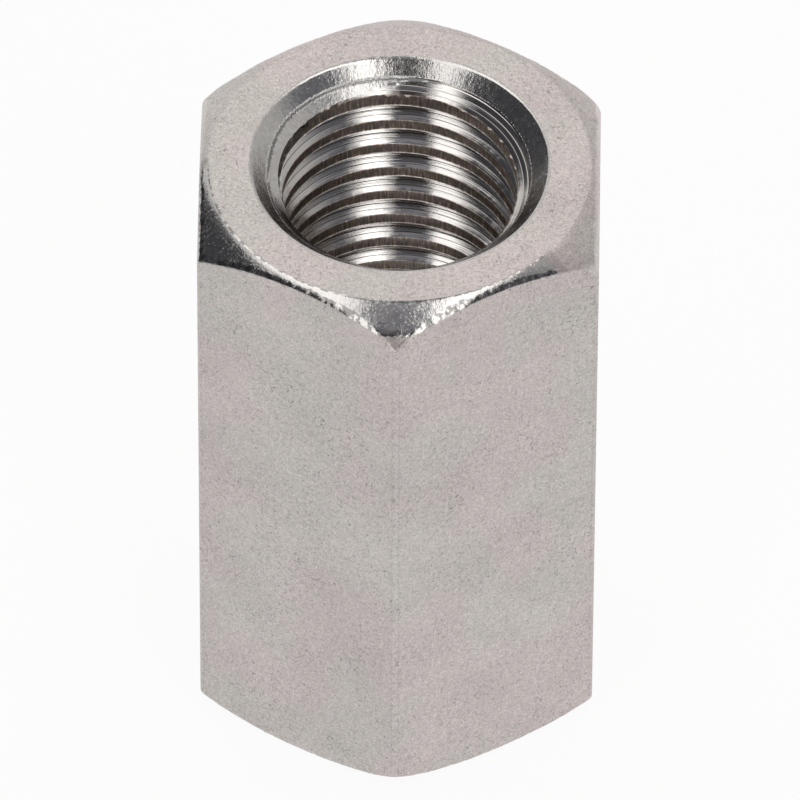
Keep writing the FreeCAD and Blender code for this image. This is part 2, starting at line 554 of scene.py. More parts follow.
    def _end_rows(self, end: EndSizes, seed: int) -> tuple[np.ndarray, np.ndarray]:
        """Work out one end's rows, from the face out and on to the side.

        Args:
            end: The end's sizes.
            seed: Seed of the edge's unevenness.

        Returns:
            The rows' radii and falls below the face, as an array of rows by columns by
            two, and each row's wear.
        """
        turns = self.angle / FULL_TURN
        uneven = ripple(turns, *self.FINE_WAVES, seed, closed=True)
        broad = ripple(turns, *self.BROAD_WAVES, seed + 1, closed=True)
        rim = end.face_radius + self.RIM_WAVER * broad
        rim_in = rim - end.rim_round
        rim_out = self._turned(end, rim + end.rim_round)
        edge = self._edge(end, uneven, broad)
        face = [pair(radius, 0.0, rim) for radius in (*self.FACE_RADII, rim_in - self.GUARD_GAP)]
        round_rim = bend(pair(rim_in, 0.0, rim), pair(rim, 0.0, rim), rim_out, self.RIM_STEPS)
        slope = [self._turned(end, rim_out[:, 0] + (edge[0, :, 0] - rim_out[:, 0]) * part)
                 for part in np.linspace(0.0, 1.0, self.SLOPE_ROWS + 2)[1:-1]]
        rows = [*face, *round_rim, *slope, *edge, edge[-1] + [0.0, self.GUARD_GAP]]
        wear = np.zeros(len(rows))
        wear[self.FIRST_RIM:self.FIRST_RIM + self.RIM_STEPS + 1] = self.RIM_WEAR
        wear[self.FIRST_EDGE:-1] = 1.0
        return np.array(rows), wear

    def _matte(self, radius: np.ndarray, height: np.ndarray) -> np.ndarray:
        """Work out how dull each point is, with the upper bevel left bright off its tip.

        Args:
            radius: Each point's radius, rows by columns.
            height: Its height.

        Returns:
            1 at dull points and 0 at bright ones.
        """
        top, bottom = self.sizes.top, self.sizes.bottom
        matte = np.where(height > self.sizes.length / 2.0, top.dullness(radius, self.angle),
                         bottom.dullness(radius, self.angle))
        off_tip = degrees_from(self.angle, top.tip_direction)
        bright = top.bevel.present(off_tip) * (np.abs(off_tip) > top.bevel.bright_from)
        matte[self.FIRST_EDGE + 1:self.FIRST_EDGE + self.TURNED_EDGE + 1] *= 1.0 - bright
        return matte

    def build(self, skin: Skin) -> tuple[np.ndarray, np.ndarray]:
        """Add the outside to the skin, from the upper face down to the lower face.

        Args:
            skin: The skin that the points and triangles go to.

        Returns:
            Point numbers of the innermost ring of the upper and of the lower face.
        """
        top, top_wear = self._end_rows(self.sizes.top, self.TOP_SEED)
        bottom, bottom_wear = self._end_rows(self.sizes.bottom, self.BOTTOM_SEED)
        bottom, bottom_wear = bottom[::-1], bottom_wear[::-1]
        upper, lower = self.sizes.length - top[..., 1], bottom[..., 1]
        parts = np.array(self.SIDE_PARTS)[:, None]
        between = upper[-1] + (lower[0] - upper[-1]) * parts
        radius = np.concatenate([top[..., 0], np.tile(self.side_radius, (len(parts), 1)), bottom[..., 0]])
        height = np.concatenate([upper, between, lower])
        row_wear = np.concatenate([top_wear, np.zeros(len(parts)), bottom_wear])[:, None]
        on_side = np.zeros_like(row_wear)
        on_side[len(top) - 1:len(top) + len(parts) + 1] = 1.0
        wear = np.maximum(row_wear, self.round_part * on_side)
        numbers = skin.add_points(radius, self.angle, height, wear, self._matte(radius, height))

        wrap = [*range(self.angle.size), 0]
        numbers, radius, height = numbers[:, wrap], radius[:, wrap], height[:, wrap]
        angle = self.angle[wrap]
        flat = np.stack([radius * np.cos(angle), radius * np.sin(angle)], axis=-1)
        way_round = self.SIDES * self.sizes.across_flats * math.tan(self.HALF_SIDE)
        along = np.append(self.along, self.along[0] + way_round)
        sideways = np.stack(np.broadcast_arrays(along, height - self.GRAIN_LEAN * radius), axis=-1)
        rim, edge, last = self.FIRST_RIM + 1, self.FIRST_EDGE + self.TURNED_EDGE, len(radius) - 1
        borders = (0, rim, edge, last - edge, last - rim, last)
        bands = ((Finish.TUMBLED, flat), (Finish.TURNED, sideways), (Finish.TUMBLED, sideways),
                 (Finish.TURNED, sideways), (Finish.TUMBLED, flat))
        for first, stop, (finish, grain) in zip(borders, borders[1:], bands):
            rows = slice(first, stop + 1)
            cell_finish = np.full((stop - first, self.angle.size), finish.value)
            skin.add_cells(cell_corners(numbers[rows]), cell_corners(grain[rows]), cell_finish)
        return numbers[0, :-1], numbers[-1, :-1]


def cell_corners(grid: np.ndarray) -> list[np.ndarray]:
    """Take a grid's cells apart into their corners: here, next row, both, next column."""
    return [grid[:-1, :-1], grid[1:, :-1], grid[1:, 1:], grid[:-1, 1:]]


class ThreadedBore:
    """The bore: both countersinks and the thread between them, as one strip.

    A column's points run up the bore in steps of the thread's rows, pitch after pitch,
    and the next column's stand higher by the pitch over the number of columns. After a
    full turn a point therefore lies one whole pitch, or one set of rows, further up.
    Waves are the fewest and the most a turn, how many there are, and their seed.
    """

    STEP_DEPTH = 0.92
    STEP_TILT = 0.17
    SHALLOWEST = math.radians(150.0)
    STEP_HOLLOW = 0.16
    HOLLOW_ARC = (150.0, 180.0, 195.0, 225.0)
    STEP_ARC = (-5.0, 35.0, 175.0, 205.0)
    STRONGEST = (170.0, 20.0)
    STRONGER_BY = 0.7
    RUN_IN_DEPTH = 1.1
    RUN_IN_ARC = (140.0, 235.0)
    CUT_BACK_DEPTH, CUT_BACK_RUN, CUT_BACK_MOST = 2.0, 0.6, 1.6
    CREST_BAND = (7.25, 7.0)
    TORN_DEPTH, TORN_SPREAD, BURR_SPREAD = 1.5, 0.9, 0.5
    TORN_LEAST, TORN_MORE = 0.22, 1.1
    BEAD_LIMITS, TEAR_LIMITS, BURR_LIMITS = (0.0, 2.2), (-1.5, 2.2), (0.0, 1.5)
    FINE_WAVES = (30, 110, 60, 41)
    COARSE_WAVES = (4, 22, 16, 43)
    OTHER_WAVES = (30, 120, 60, 47)
    LIP_RADIUS = 7.15
    CUT_LINE_DEPTH = 0.1
    TOUCH = 1e-4
    ROUNDING_ERROR = 1e-6
    THREAD_RADIUS = 7.5
    CONE_RADIUS = 8.0

    def __init__(self, nut: NutSizes, thread: ThreadSizes) -> None:
        """Keep the sizes.

        Args:
            nut: The nut's sizes.
            thread: The thread's sizes.
        """
        self.nut = nut
        self.thread = thread
        self.angle = FULL_TURN * np.arange(thread.columns) / thread.columns

    def _step_depth(self, angle: np.ndarray) -> np.ndarray:
        """Give the depth where a countersink grows flatter.

        It wavers once round the mouth, as a cosine, and has a hollow on the left.

        Args:
            angle: Angles round the bore.

        Returns:
            The depth at each angle.
        """
        hollow = plateau(np.degrees(angle), self.HOLLOW_ARC)
        tilt = np.cos(angle - self.SHALLOWEST)
        return self.STEP_DEPTH - self.STEP_TILT * tilt + self.STEP_HOLLOW * hollow

    def _cone(self, height: np.ndarray, angle: np.ndarray) -> np.ndarray:
        """Give the radius of the wider of the two countersinks.

        Each narrows by 1 for 1 of depth down to its step, and by step_slope more below
        it. The step dies away on the side that faces the front corner, and is strongest
        on the left.

        Args:
            height: Height of each point.
            angle: Its angle.

        Returns:
            The radius at each point.
        """
        step = self._step_depth(angle)
        degrees = degrees_from(angle, 90.0) + 90.0
        present = plateau(degrees, self.STEP_ARC) * (1.0 + self.STRONGER_BY * bell(degrees, *self.STRONGEST))
        radii = []
        for end, depth in ((self.nut.top, self.nut.length - height), (self.nut.bottom, height)):
            flatter = (depth - step) * (1.0 + present * end.step_slope)
            radii.append(end.mouth_radius - np.maximum(depth, step + flatter))
        return np.maximum(*radii)

    def _thread_radius(self, turns: np.ndarray, row: np.ndarray, height: np.ndarray) -> np.ndarray:
        """Give the thread's radius, with torn lips on its crests.

        The first crest below each countersink is cut back a little. The lower lip stands
        further into the bore where an uneven line along the thread is high, by its
        square, the upper lip is ragged, and both are torn more near the countersinks.

        Args:
            turns: Distance along the thread, in turns.
            row: Each point's row within the pitch.
            height: Each point's height.

        Returns:
            The radius of each point.
        """
        thread = self.thread
        radius = np.array([radius for _, radius in thread.rows])[row]
        depth = np.minimum(self.nut.length - height, height)
        fine, coarse, other = (
            ripple(turns, *waves) for waves in (self.FINE_WAVES, self.COARSE_WAVES, self.OTHER_WAVES))
        cut_back = np.clip((self.CUT_BACK_DEPTH - depth) / self.CUT_BACK_RUN, 0.0, self.CUT_BACK_MOST)
        torn = self.TORN_LEAST + self.TORN_MORE * bell(depth, self.TORN_DEPTH, self.TORN_SPREAD)
        beads = torn * np.clip(fine + 0.6 * coarse, *self.BEAD_LIMITS) ** 2
        tears = torn * np.clip(other + 0.5 * coarse, *self.TEAR_LIMITS)
        raised = np.clip(other - 0.7, *self.BURR_LIMITS) ** 1.5
        burrs = raised * bell(depth, self.TORN_DEPTH, self.BURR_SPREAD)
        radius = radius + thread.cut_back * (cut_back * ramp(radius, *self.CREST_BAND))
        radius = radius - (row == thread.lower_lip) * thread.beads * beads
        radius = radius - (row == thread.upper_lip) * (thread.tears * tears + thread.burrs * burrs)
        return radius + np.isin(row, thread.crest) * thread.wavering * coarse

    def build(self, skin: Skin) -> tuple[np.ndarray, np.ndarray]:
        """Add the bore to the skin.

        Args:
            skin: The skin that the points and triangles go to.

        Returns:
            Point numbers of the upper and of the lower mouth, one for each column.
        """
        thread = self.thread
        rows = len(thread.rows)
        around = self.angle[:, None]
        steps = np.arange((thread.turns + 1) * rows + 1)
        turns = steps // rows + around / FULL_TURN
        row = np.broadcast_to(steps % rows, turns.shape)
        within = np.array([height for height, _ in thread.rows])[row]
        height = thread.first_root + within + thread.pitch * turns
        radius = self._thread_radius(turns, row, height)
        for end_height in (self.nut.length, 0.0):
            depth = np.abs(end_height - height)
            radius, height = self._move_to_crossing(radius, height, depth - self._step_depth(around))
        radius, height = self._move_to_crossing(radius, height, radius - self._cone(height, around))

        top_end = self.nut.length - self.nut.top.mouth_round * math.sqrt(0.5)
        bottom_end = self.nut.bottom.mouth_round * math.sqrt(0.5)
        cone = self._cone(height, around)
        on_cone = radius <= cone + self.ROUNDING_ERROR
        radius = np.maximum(radius, cone)
        # Lower lips that stand out are worn, and the crest finish paints them light as a highlight.
        worn_highlit_lip = (row == thread.lower_lip) & (radius < self.LIP_RADIUS)
        numbers = skin.add_points(radius, around, height, worn_highlit_lip.astype(float))
        ends = [skin.add_points(self._cone(np.array(at), self.angle), self.angle, at)
                for at in (top_end, bottom_end)]
        numbers = np.where(height > top_end - self.TOUCH, ends[0][:, None], numbers)
        numbers = np.where(height < bottom_end + self.TOUCH, ends[1][:, None], numbers)
        clipped = np.clip(height, bottom_end, top_end)
        below_step = np.minimum(self.nut.length - clipped, clipped) - self._step_depth(around)

        def corners_of(values: np.ndarray) -> list[np.ndarray]:
            """Take values to each cell's corners. Past the last column is the first, rows later."""
            here, right = values[:, :-rows], np.concatenate([values[1:, :-rows], values[:1, rows:]])
            return [here[:, :-1], here[:, 1:], right[:, 1:], right[:, :-1]]

        low, cell_row, drop, along = (
            values[:, :-rows - 1] for values in (within, row, below_step, turns * FULL_TURN))
        high = low + np.diff(np.append(within[0, :rows], thread.pitch))[cell_row]
        width = FULL_TURN / thread.columns
        cut_crest = np.isin(cell_row, thread.cut_lines) & (drop > self.CUT_LINE_DEPTH)
        plain_cone = np.all(corners_of(on_cone), axis=0) & ~cut_crest
        grain = []
        for corner, (across, side) in enumerate(((low, 0.0), (high, 0.0), (high, width), (low, width))):
            below = corners_of(below_step)[corner]
            thread_grain = np.stack([(along + side) * self.THREAD_RADIUS, across], axis=-1)
            cone_grain = np.stack(np.broadcast_arrays((around + side) * self.CONE_RADIUS, below), axis=-1)
            grain.append(np.where(plain_cone[..., None], cone_grain, thread_grain))
        degrees = np.degrees(around)
        run_in = (degrees > self.RUN_IN_ARC[0]) & (degrees < self.RUN_IN_ARC[1]) & (drop < self.RUN_IN_DEPTH)
        crest = np.isin(cell_row, thread.crest) & ~run_in
        finish = np.where(crest, Finish.CREST.value, Finish.THREAD.value)
        finish = np.where(plain_cone, Finish.COUNTERSINK.value, finish)
        skin.add_cells(corners_of(numbers), grain, finish)
        return ends[0], ends[1]

    @staticmethod
    def _move_to_crossing(radius: np.ndarray, height: np.ndarray,
                          gap: np.ndarray) -> tuple[np.ndarray, np.ndarray]:
        """Move the point of a column that is nearest to each crossing onto it.

        A crossing is where the gap, drawn as a straight line between two points of a
        column, is zero.

        Args:
            radius: The thread's radius at each point, columns by steps.
            height: Height of each point.
            gap: What is zero on the line that the points move to.

        Returns:
            The radii and heights with those points moved.
        """
        crossing = gap[:, :-1] * gap[:, 1:] < 0.0
        safe = np.where(crossing, gap[:, :-1] - gap[:, 1:], 1.0)
        part = np.where(crossing, gap[:, :-1] / safe, 0.0)
        new_radius, new_height = radius.copy(), height.copy()
        for offset, chosen in ((0, crossing & (part < 0.5)), (1, crossing & (part >= 0.5))):
            column, step = np.nonzero(chosen)
            share = part[column, step]
            for old, new in ((height, new_height), (radius, new_radius)):
                before, after = old[column, step], old[column, step + 1]
                new[column, step + offset] = before + share * (after - before)
        return new_radius, new_height


# Shader maths


class Value:
    """A socket of a node tree. Plain arithmetic on it adds Math nodes."""

    def __init__(self, graph: "Graph", socket: bpy.types.NodeSocket) -> None:
        """Wrap an output socket of the graph's tree."""
        self.graph = graph
        self.socket = socket

    def __add__(self, other: "Value | float") -> "Value":
        """Add."""
        return self.graph.math("ADD", self, other)

    def __sub__(self, other: "Value | float") -> "Value":
        """Take away."""
        return self.graph.math("SUBTRACT", self, other)

    def __rsub__(self, other: "Value | float") -> "Value":
        """Take this value away from another."""
        return self.graph.math("SUBTRACT", other, self)

    def __mul__(self, other: "Value | float") -> "Value":
        """Multiply."""
        return self.graph.math("MULTIPLY", self, other)

    def __truediv__(self, other: "Value | float") -> "Value":
        """Divide."""
        return self.graph.math("DIVIDE", self, other)

    __radd__ = __add__
    __rmul__ = __mul__

    def step(self, low: float, high: float) -> "Value":
        """Rise smoothly from 0 at low to 1 at high, or fall if low is the larger."""
        inputs = {"Value": self, "From Min": low, "From Max": high}
        return self.graph.node("ShaderNodeMapRange", {"interpolation_type": "SMOOTHSTEP"}, inputs)

    def output(self, place: str | int) -> "Value":
        """Give another output of the same node."""
        return Value(self.graph, self.socket.node.outputs[place])


class Graph:
    """One node tree, to which nodes are added by type, settings and socket values.

    The places are those of the Mix node's sockets for colours.
    """

    MIX_FIRST, MIX_SECOND, MIX_RESULT = 6, 7, 2

    def __init__(self, tree: bpy.types.NodeTree) -> None:
        """Empty the tree."""
        self.tree = tree
        tree.nodes.clear()

    def node(self, kind: str, settings: Settings | None = None,
             inputs: Mapping[str | int, object] | None = None, output: str | int = 0) -> Value:
        """Add a node.

        Args:
            kind: Blender's name of the node's type.
            settings: Properties of the node, set before its sockets.
            inputs: Values or links of its sockets, by name or place.
            output: The output that is wanted, by name or place.

        Returns:
            The wanted output, or the first input of a node that has no outputs.
        """
        node = self.tree.nodes.new(kind)
        for name, setting in (settings or {}).items():
            setattr(node, name, setting)
        for place, content in (inputs or {}).items():
            if isinstance(content, Value):
                self.tree.links.new(content.socket, node.inputs[place])
            else:
                node.inputs[place].default_value = content
        outputs = node.outputs
        return Value(self, outputs[output]) if len(outputs) else Value(self, node.inputs[0])

    def math(self, operation: str, first: "Value | float", second: "Value | float" = 0.0) -> Value:
        """Add a Math node with one or two operands."""
        return self.node("ShaderNodeMath", {"operation": operation}, {0: first, 1: second})

    def vector_math(self, operation: str, inputs: Mapping[str | int, object]) -> Value:
        """Add a Vector Math node."""
        return self.node("ShaderNodeVectorMath", {"operation": operation}, inputs)

    def mix(self, factor: Value | float, first: Value | Colour, second: Value | Colour) -> Value:
        """Mix two colours: the first at factor 0, the second at 1."""
        colours = [content if isinstance(content, Value) else (*content, 1.0) for content in (first, second)]
        inputs = {0: factor, self.MIX_FIRST: colours[0], self.MIX_SECOND: colours[1]}
        return self.node("ShaderNodeMix", {"data_type": "RGBA"}, inputs, self.MIX_RESULT)

    def tint(self, colour: Value | Colour, amount: Value) -> Value:
        """Multiply a colour by a value."""
        return self.vector_math("SCALE", {0: colour, "Scale": amount})

    def noise(self, place: Value, scale: float, detail: float = 2.0, roughness: float = 0.6) -> Value:
        """Add noise between 0 and 1, scale features to a millimetre."""
        inputs = {"Vector": place, "Scale": scale, "Detail": detail, "Roughness": roughness}
        return self.node("ShaderNodeTexNoise", {"noise_dimensions": "3D"}, inputs)

    def streaks(self, surface: Value, along: float, across: float, detail: float = 2.0,
                roughness: float = 0.6) -> Value:
        """Add noise with its own scale along and across the surface."""
        return self.noise(self.stretch(surface, (along, across, 1.0)), 1.0, detail, roughness)

    def stretch(self, place: Value, factors: Colour) -> Value:
        """Multiply the three coordinates by factors of their own."""
        return self.vector_math("MULTIPLY", {0: place, 1: factors})

    def object_millimetres(self) -> Value:
        """Give the place on the object, in millimetres."""
        place = self.node("ShaderNodeTexCoord", None, None, "Object")
        return self.stretch(place, (1.0 / MILLIMETRE, 1.0 / MILLIMETRE, 1.0 / MILLIMETRE))

    def surface_millimetres(self) -> Value:
        """Give the place along and across the surface, in millimetres."""
        return self.node("ShaderNodeUVMap", {"uv_map": "grain"})

    def attribute(self, name: str) -> Value:
        """Give one of the mesh's attributes, from 0 to 1."""
        return self.node("ShaderNodeAttribute", {"attribute_name": name}, None, "Fac")

    def parts(self, place: Value) -> tuple[Value, Value, Value]:
        """Take a place apart into its three coordinates."""
        first = self.node("ShaderNodeSeparateXYZ", None, {0: place})
        return first, first.output(1), first.output(2)

    def place(self, x: Value, y: Value, z: Value) -> Value:
        """Put three coordinates together."""
        return self.node("ShaderNodeCombineXYZ", None, {0: x, 1: y, 2: z})

    def scratches(self, surface: Value, cells: float, length: float, width: float) -> Value:
        """Scatter short straight scratches, one for each cell, turned at random.

        Each cell of a Voronoi pattern has a point and a random colour. The place
        measured from that point is turned by an angle from the colour, and the scratch
        is where it lies within half the length one way and half the width the other.

        Args:
            surface: Place on the surface, in millimetres.
            cells: Cells in a millimetre.
            length: Length of a scratch, in millimetres.
            width: Its width.

        Returns:
            1 on a scratch and 0 beside it.
        """
        inputs = {"Vector": surface, "Scale": cells}
        centre = self.node("ShaderNodeTexVoronoi", {"voronoi_dimensions": "2D"}, inputs, "Position")
        random = self.node("ShaderNodeSeparateColor", None, {"Color": centre.output("Color")})
        x, y, _ = self.parts(self.vector_math("SUBTRACT", {0: surface, 1: centre}))
        angle = random * FULL_TURN
        cosine, sine = self.math("COSINE", angle), self.math("SINE", angle)
        lengthways = self.math("ABSOLUTE", x * cosine + y * sine)
        across = self.math("ABSOLUTE", y * cosine - x * sine)
        half = length * 0.5
        reach = (random.output(1) * 0.8 + 0.2) * half
        return across.step(width * 0.5, width * 0.2) * (lengthways - reach).step(0.0, -0.3 * half)

    def bare_metal(self, look: "Look", relief: float) -> None:
        """Finish a material with a metal shader.

        Args:
            look: The colour, the roughness and the height of the relief.
            relief: How far a height of 1 stands out, in millimetres.
        """
        inputs = {"Height": look.height, "Distance": relief * MILLIMETRE, "Strength": 1.0}
        shader = self.node("ShaderNodeBsdfPrincipled", None, {
            "Base Color": look.colour, "Metallic": 1.0, "Roughness": look.roughness,
            "Normal": self.node("ShaderNodeBump", None, inputs)})
        self.node("ShaderNodeOutputMaterial", None, {"Surface": shader})


# Finishes. The factors in them are the shares of each pattern in a shade or a height


@dataclass(frozen=True)
class Look:
    """What a surface is like from place to place."""

    colour: Value
    roughness: Value
    height: Value


@dataclass(frozen=True)
class Steel:
    """One finish of the stainless steel. Its relief is in millimetres."""

    name: str
    roughness: float
    relief: float

    def build(self) -> bpy.types.Material:
        """Make the finish's material.

        Returns:
            The material, with the look that the finish works out.
        """
        material = bpy.data.materials.new(self.name)
        material.use_nodes = True
        graph = Graph(material.node_tree)
        graph.bare_metal(self.look(graph), self.relief)
        return material

    def look(self, graph: Graph) -> Look:
        """Work out the look, which each finish does in its own way."""
        raise NotImplementedError


@dataclass(frozen=True)
class Grain:
    """The tumbled grain, which the flats, the end faces and the dulled edges share."""

    shade: Value
    height: Value
    colour: Value


def tumbled_grain(graph: Graph, place: Value) -> Grain:
    """Make the grain that tumbling leaves: fine speckle, grit, small pits and soft clouds.

    Args:
        graph: The material's graph.
        place: Place on the object, in millimetres.

    Returns:
        The grain's shade, about 1, its height and its colour, which is one of two greys.
    """
    fine = graph.noise(place, 9.0, 2.0, 0.7)
    grit = graph.noise(place, 3.2, 3.0, 0.65)
    cloud = graph.noise(place, 0.2, 3.0)
    tone = graph.noise(place, 0.13, 2.0, 0.5).step(0.4, 0.58)
    clusters = graph.noise(place, 0.5).step(0.42, 0.62)
    pits = graph.noise(place, 4.6).step(0.6, 0.7) * (0.25 + clusters * 0.75)
    shade = 0.03 + fine * 1.25 + grit * 0.5 + cloud * 0.34 - pits * 0.42
    colour = graph.mix(tone, (0.560, 0.530, 0.508), (0.576, 0.520, 0.511))
    return Grain(shade, fine * 0.5 + grit - pits * 0.7, colour)


@dataclass(frozen=True)
class TumbledSteel(Steel):
    """Flats and end faces: a fine matt grain with small pits and scratches, and painted shade by the edges.
    """

    name: str = "tumbled_steel"
    roughness: float = 0.46
    relief: float = 0.012

    def look(self, graph: Graph) -> Look:
        """Scratch the grain, more in some places than in others, and paint shade on and beside the edges.

        Args:
            graph: The material's graph.

        Returns:
            The colour, the roughness and the height of the relief.
        """
        place = graph.object_millimetres()
        surface = graph.surface_millimetres()
        wear = graph.attribute("wear")
        grain = tumbled_grain(graph, place)
        many = graph.noise(place, 0.35, 1.0, 0.5).step(0.40, 0.60)
        short = graph.scratches(surface, 2.1, 0.42, 0.08)
        long = graph.scratches(surface, 0.8, 1.0, 0.06)
        bright = graph.scratches(surface, 1.1, 0.4, 0.06)
        marks = (short + long) * (many * 0.75 + 0.2)
        # Painted shade: the edges are painted a little darker, and a line beside them more so.
        shade_beside_edge = wear.step(0.05, 0.3) * wear.step(0.7, 0.4)
        edges = wear.step(0.4, 0.9) * 0.03 + shade_beside_edge * 0.08
        shade = grain.shade - marks * 0.3 + bright * 0.14 - edges
        rough = self.roughness + (grain.shade - 1.0) * 0.2 - wear * 0.08
        return Look(graph.tint(grain.colour, shade), rough, grain.height - marks * 0.8)


@dataclass(frozen=True)
class TurnedSteel(Steel):
    """Turned corners: bright with tool lines and chatter, or dulled by the tumbling."""

    name: str = "turned_steel"
    roughness: float = 0.15
    relief: float = 0.012
    colour: Colour = (0.6, 0.58, 0.57)
    dulled_roughness: float = 0.44

    def look(self, graph: Graph) -> Look:
        """Cut the bright part, with lines round the axis and chatter across them, and dull the rest.

        Args:
            graph: The material's graph.

        Returns:
            The colour, the roughness and the height of the relief.
        """
        place = graph.object_millimetres()
        wear = graph.attribute("wear")
        matte = graph.attribute("matte")
        x, y, _ = graph.parts(place)
        radius = graph.math("SQRT", x * x + y * y)
        lines = graph.noise(graph.place(x * 0.3, y * 0.3, radius * 12.0), 1.0)
        chatter = graph.noise(graph.place(x / radius * 60.0, y / radius * 60.0, radius * 0.8), 1.0)
        mottle = graph.noise(place, 2.2, 3.0, 0.65)
        dents = graph.noise(place, 6.5)
        flecks = graph.noise(place, 6.0, 3.0, 0.7).step(0.52, 0.72)
        marks = graph.scratches(graph.surface_millimetres(), 0.9, 0.9, 0.06)
        # Painted shade: beads along the rims and edges of the bright part are painted darker.
        rim = wear.step(0.25, 0.5) * graph.noise(place, 3.0, 1.0, 0.5).step(0.42, 0.56)
        grain = tumbled_grain(graph, place)
        dull = (matte + (mottle - 0.5) * 0.9).step(0.38, 0.62)
        bright = 1.0 - dull
        bright_shade = 0.64 + mottle * 0.4 + flecks * 0.24 - rim * 0.45
        # Painted highlight: the dulled edges are painted lighter.
        # Painted shade: dulled parts short of full dullness, as by the tip, are painted darker.
        dull_shade = grain.shade * (0.76 + matte.step(0.8, 0.95) * 0.22) + wear.step(0.7, 1.0) * 0.2
        shades = graph.tint(self.colour, bright_shade), graph.tint(grain.colour, dull_shade)
        cut = lines * 0.25 + chatter * 0.36 + mottle * 0.9 + dents * 0.45 + flecks * 0.15
        rough = self.roughness + (mottle - 0.5) * 0.3 + flecks * 0.16 + marks * 0.14
        return Look(graph.mix(dull, *shades), rough * bright + self.dulled_roughness * dull,
                    cut * bright + grain.height * 0.8 * dull)


@dataclass(frozen=True)
class CountersinkSteel(Steel):
    """Countersinks: torn and mottled, with a ragged painted highlight along their step and painted shade
    below it.
    """

    name: str = "countersink_steel"
    roughness: float = 0.2
    relief: float = 0.018
    colour: Colour = (0.6, 0.585, 0.575)

    def look(self, graph: Graph) -> Look:
        """Mottle the cone, with a burred step painted as a highlight and a hollow below it painted as shade.

        Args:
            graph: The material's graph.

        Returns:
            The colour, the roughness and the height of the relief.
        """
        place = graph.object_millimetres()
        surface = graph.surface_millimetres()
        _, below, _ = graph.parts(surface)
        chatter = graph.streaks(surface, 7.0, 1.2)
        lines = graph.streaks(surface, 0.5, 12.0)
        mottle = graph.noise(place, 2.6, 3.0, 0.7)
        specks = graph.noise(place, 7.5)
        flecks = graph.noise(place, 5.5, 3.0, 0.7).step(0.54, 0.72)
        blotch = graph.noise(place, 1.1).step(0.42, 0.6)
        jag = graph.streaks(surface, 5.0, 0.5, 3.0, 0.7)
        off = below + (jag - 0.5) * 0.22
        # Painted highlight and shade: the raised line on the step is painted lighter, and the dented hollow
        # below it darker.
        burr_and_highlight = off.step(-0.05, -0.01) * off.step(0.06, 0.02) * (jag.step(0.4, 0.6) * 0.8 + 0.1)
        hollow = off.step(0.02, 0.05) * off.step(0.15, 0.08)
        shade = 0.52 + mottle * 0.42 + specks * 0.3 + burr_and_highlight * 0.4 - hollow * 0.5 + flecks * 0.1
        rough = self.roughness + (mottle - 0.5) * 0.3 + flecks * blotch * 0.22 + burr_and_highlight * 0.25
        height = chatter * 0.45 + lines * 0.25 + mottle * 1.2 + specks * 0.5 + burr_and_highlight * 1.2 - hollow * 0.6
        return Look(graph.tint(self.colour, shade), rough, height)


@dataclass(frozen=True)
class CutThreadSteel(Steel):
    """Flanks and roots of the thread: bright, with fine lines along the cut."""

    name: str = "cut_thread_steel"
    roughness: float = 0.045
    relief: float = 0.012
    colour: Colour = (0.56, 0.54, 0.525)

    def look(self, graph: Graph) -> Look:
        """Draw coarse and fine lines along the thread.

        Args:
            graph: The material's graph.

        Returns:
            The colour, the roughness and the height of the relief.
        """
        surface = graph.surface_millimetres()
        lines = graph.streaks(surface, 0.06, 16.0, 3.0, 0.7)
        fine = graph.streaks(surface, 0.3, 40.0, 1.0, 0.5)
        shade = 0.66 + lines * 0.46 + fine * 0.14
        rough = self.roughness + lines * 0.03 + graph.attribute("wear") * 0.2
        return Look(graph.tint(self.colour, shade), rough, lines + fine * 0.12)


@dataclass(frozen=True)
class CrestSteel(Steel):
    """Crests of the thread: brown where the tapping drill left them, with fine ticks."""

    name: str = "crest_steel"
    roughness: float = 0.4
    relief: float = 0.02
    colour: Colour = (0.45, 0.385, 0.35)
    # Colours of the painted tan glints and of the worn lips' painted highlight.
    glint_colour: Colour = (0.8, 0.66, 0.52)
    worn_highlight_colour: Colour = (0.85, 0.82, 0.79)

    def look(self, graph: Graph) -> Look:
        """Tick the brown across the thread, with painted tan glints and worn lips painted light as a
        highlight.

        Args:
            graph: The material's graph.

        Returns:
            The colour, the roughness and the height of the relief.
        """
        surface = graph.surface_millimetres()
        wear = graph.attribute("wear")
        ticks = graph.streaks(surface, 6.0, 0.9, 3.0, 0.7)
        grains = graph.streaks(surface, 7.0, 9.0)
        # Painted highlight: tan glints are painted where ticks and grains are both high.
        bright = ticks.step(0.52, 0.66) * grains.step(0.42, 0.6)
        colour = graph.mix(bright, self.colour, self.glint_colour)
        # The worn lips are painted far lighter than the steel, as a painted highlight.
        colour = graph.mix(wear.step(0.2, 0.9), colour, self.worn_highlight_colour)
        rough = self.roughness + (grains - 0.5) * 0.2 + wear * 0.05
        return Look(graph.tint(colour, ticks * 2.0 + grains * 0.6 - 0.42), rough, ticks + grains * 0.5)


